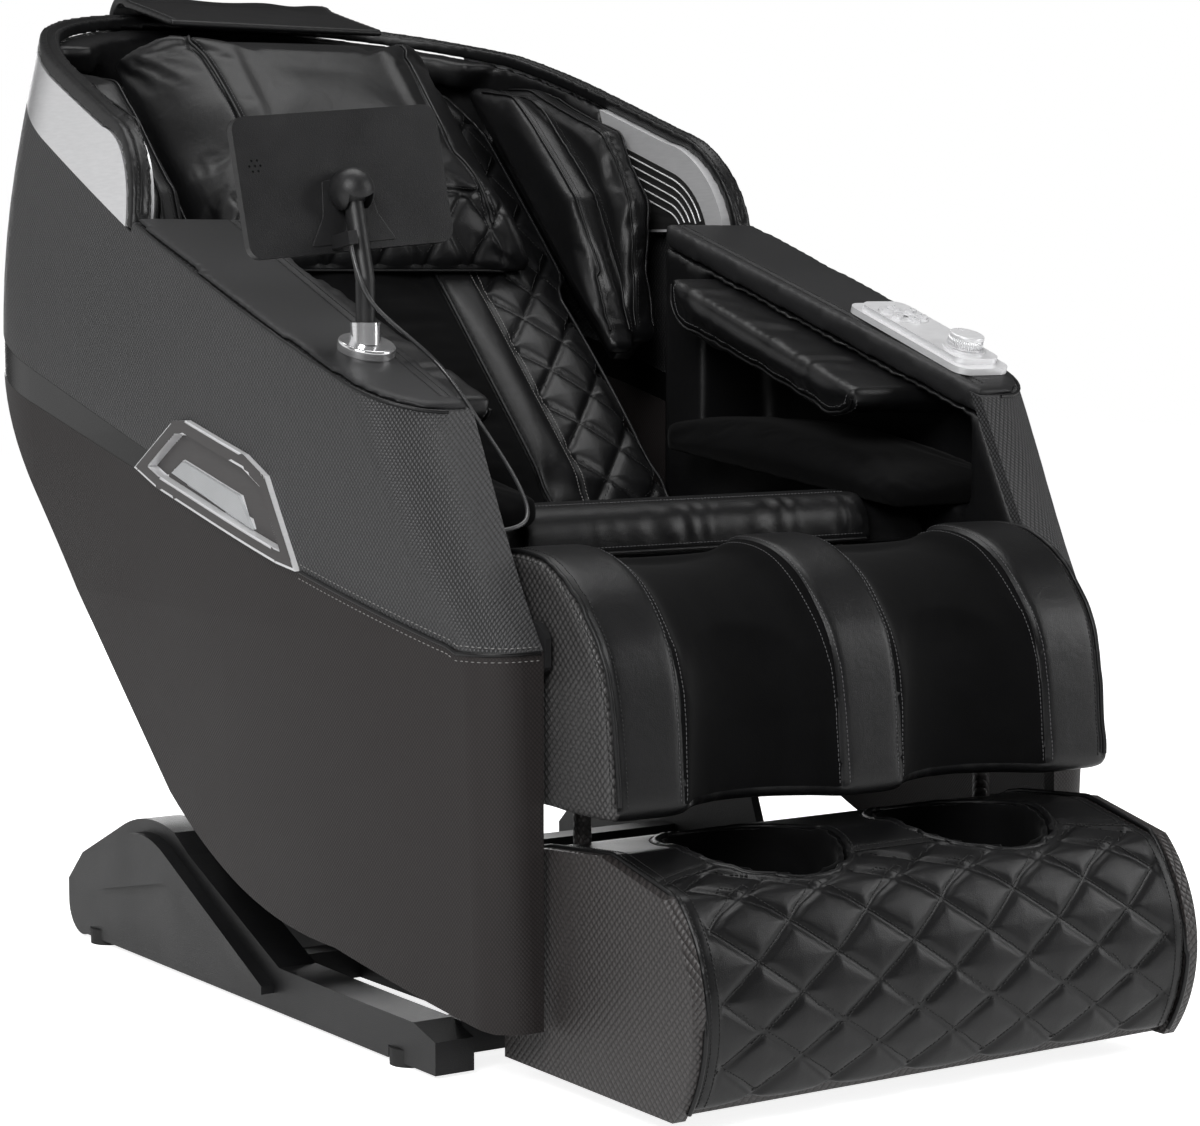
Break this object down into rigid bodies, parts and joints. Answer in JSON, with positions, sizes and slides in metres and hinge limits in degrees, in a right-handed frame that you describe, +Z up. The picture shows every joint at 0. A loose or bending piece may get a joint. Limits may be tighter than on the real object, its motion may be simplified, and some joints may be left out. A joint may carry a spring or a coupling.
{
  "type": "massage chair",
  "caption": "Reclining massage chair: a tilting cabin on a sliding base, with a lifting leg rest, foot wells, hooded back, arm pockets and a screen on a post.",
  "frame": {"origin": "on the floor, on the plane of symmetry, near the middle of the chair's length", "axes": "+Z up; the sitter faces -Y; +X is at the sitter's left hand, where the control panel is"},
  "size_m": [0.8293, 1.3692, 1.0253],
  "materials": {
    "shell_grey": "fine embossed, satin",
    "shell_dark": "fine embossed, satin",
    "gloss_black": "polished",
    "silver": "satin",
    "lens": "pale, polished",
    "hide_grey": "soft grain",
    "hide_dark": "soft grain, satin",
    "quilt": "diamond quilted",
    "velour": "short pile",
    "steel": "semi-gloss",
    "zinc": "satin",
    "nylon": "moulded",
    "skid_plastic": "satin",
    "pads": "matt",
    "device": "satin",
    "post": "satin",
    "bright": "polished",
    "cable": "smooth"
  },
  "bodies": {
    "base": {"base_frame": "steel", "skid_left": "skid_plastic", "skid_right": "skid_plastic", "foot_pads": "pads", "power_box": "shell_dark"},
    "rocker": {"rocker_switch": "gloss_black"},
    "carriage": {"carriage": "steel"},
    "cabin": {"cabin_frame": "steel", "side_panel_lower_left": "shell_dark", "side_panel_lower_right": "shell_dark", "side_panel_upper_left": "shell_grey", "side_panel_upper_right": "shell_grey", "gloss_strip_left": "gloss_black", "gloss_strip_right": "gloss_black", "ornament_frame_left": "silver", "ornament_frame_right": "silver", "ornament_lens_left": "lens", "ornament_lens_right": "lens", "arm_pad_left": "hide_grey", "arm_pad_right": "hide_grey", "arm_box_left": "hide_dark", "arm_box_right": "hide_dark", "arm_airbag_left": "hide_dark", "arm_airbag_right": "hide_dark", "forearm_pad_left": "hide_dark", "forearm_pad_right": "hide_dark", "wing_panel_left": "silver", "wing_panel_right": "silver", "speaker_plate_left": "gloss_black", "speaker_plate_right": "gloss_black", "shoulder_leaf_left": "hide_dark", "shoulder_leaf_right": "hide_dark", "massage_rail_left": "zinc", "massage_rail_right": "zinc", "rim_trim": "hide_dark", "hood_liner": "hide_dark", "rear_cover": "gloss_black", "under_cover": "shell_dark", "back_pad": "hide_dark", "head_flap": "hide_dark", "seat_cushion": "hide_dark", "seat_flap": "hide_dark", "post_flange": "bright", "control_panel": "silver", "screen_cable": "cable"},
    "pillow": {"head_pillow": "hide_dark"},
    "massage": {"massage_carriage": "nylon"},
    "pinions": {"pinion_shaft": "zinc"},
    "kneader": {"kneading_arm": "nylon"},
    "legrest": {"calf_frame": "steel", "calf_cushion": "hide_dark"},
    "footrest": {"foot_body": "shell_dark", "foot_cover": "quilt", "foot_sock_left": "velour", "foot_sock_right": "velour"},
    "rollers": {"foot_roller": "nylon"},
    "post": {"screen_post": "post"},
    "screen": {"screen": "device"},
    "knob": {"panel_knob": "bright"},
    "keys": {"key_ring": "bright"}
  },
  "joints": [
    {"name": "carriage_slide", "type": "slide", "parent": "base", "child": "carriage", "axis": [0, -1, 0], "range_m": [0, 0.1]},
    {"name": "cabin_tilt", "type": "hinge", "parent": "carriage", "child": "cabin", "pos_m": [0, 0.06, 0.23], "axis": [-1, 0, 0], "range_deg": [0, 25]},
    {"name": "legrest_lift", "type": "hinge", "parent": "cabin", "child": "legrest", "pos_m": [0, -0.44, 0.385], "axis": [-1, 0, 0], "range_deg": [0, 85]},
    {"name": "foot_extend", "type": "slide", "parent": "legrest", "child": "footrest", "axis": [0, 0, -1], "range_m": [0, 0.12]},
    {"name": "foot_roller_spin", "type": "hinge", "parent": "footrest", "child": "rollers", "pos_m": [0, -0.528, 0.048], "axis": [1, 0, 0], "continuous": true},
    {"name": "massage_climb", "type": "slide", "parent": "cabin", "child": "massage", "axis": [0, 0.7071, 0.7071], "range_m": [0, 0.33]},
    {"name": "pinion_spin", "type": "hinge", "parent": "massage", "child": "pinions", "pos_m": [0, 0.27097, 0.48616], "axis": [1, 0, 0], "range_deg": [-10, 1070]},
    {"name": "kneader_rock", "type": "hinge", "parent": "massage", "child": "kneader", "pos_m": [0, 0.27309, 0.54627], "axis": [1, 0, 0], "range_deg": [-5, 5]},
    {"name": "pillow_flip", "type": "hinge", "parent": "cabin", "child": "pillow", "pos_m": [0, 0.54, 0.985], "axis": [-1, 0, 0], "range_deg": [0, 75]},
    {"name": "post_swivel", "type": "hinge", "parent": "cabin", "child": "post", "pos_m": [-0.325, -0.226, 0.65], "axis": [0, 0, 1], "range_deg": [-90, 90], "deforming": ["screen_cable"]},
    {"name": "screen_tilt", "type": "hinge", "parent": "post", "child": "screen", "pos_m": [-0.325, -0.203, 0.78], "axis": [0.9962, 0, 0.0872], "range_deg": [-7, 15]},
    {"name": "knob_turn", "type": "hinge", "parent": "cabin", "child": "knob", "pos_m": [0.33, -0.28146, 0.63805], "axis": [0, -0.3289, 0.9444], "continuous": true},
    {"name": "key_press", "type": "slide", "parent": "cabin", "child": "keys", "axis": [0, 0.3289, -0.9444], "range_m": [0, 0.0008], "stiffness_N_per_m": 1500, "springref_m": -0.001},
    {"name": "rocker_throw", "type": "hinge", "parent": "base", "child": "rocker", "pos_m": [-0.014, 0.394, 0.0678], "axis": [1, 0, 0], "range_deg": [0, 19]}
  ],
  "couplings": [
    {"joint": "pinion_spin", "follows": "massage_climb", "rad_per_m": 55.556}
  ]
}
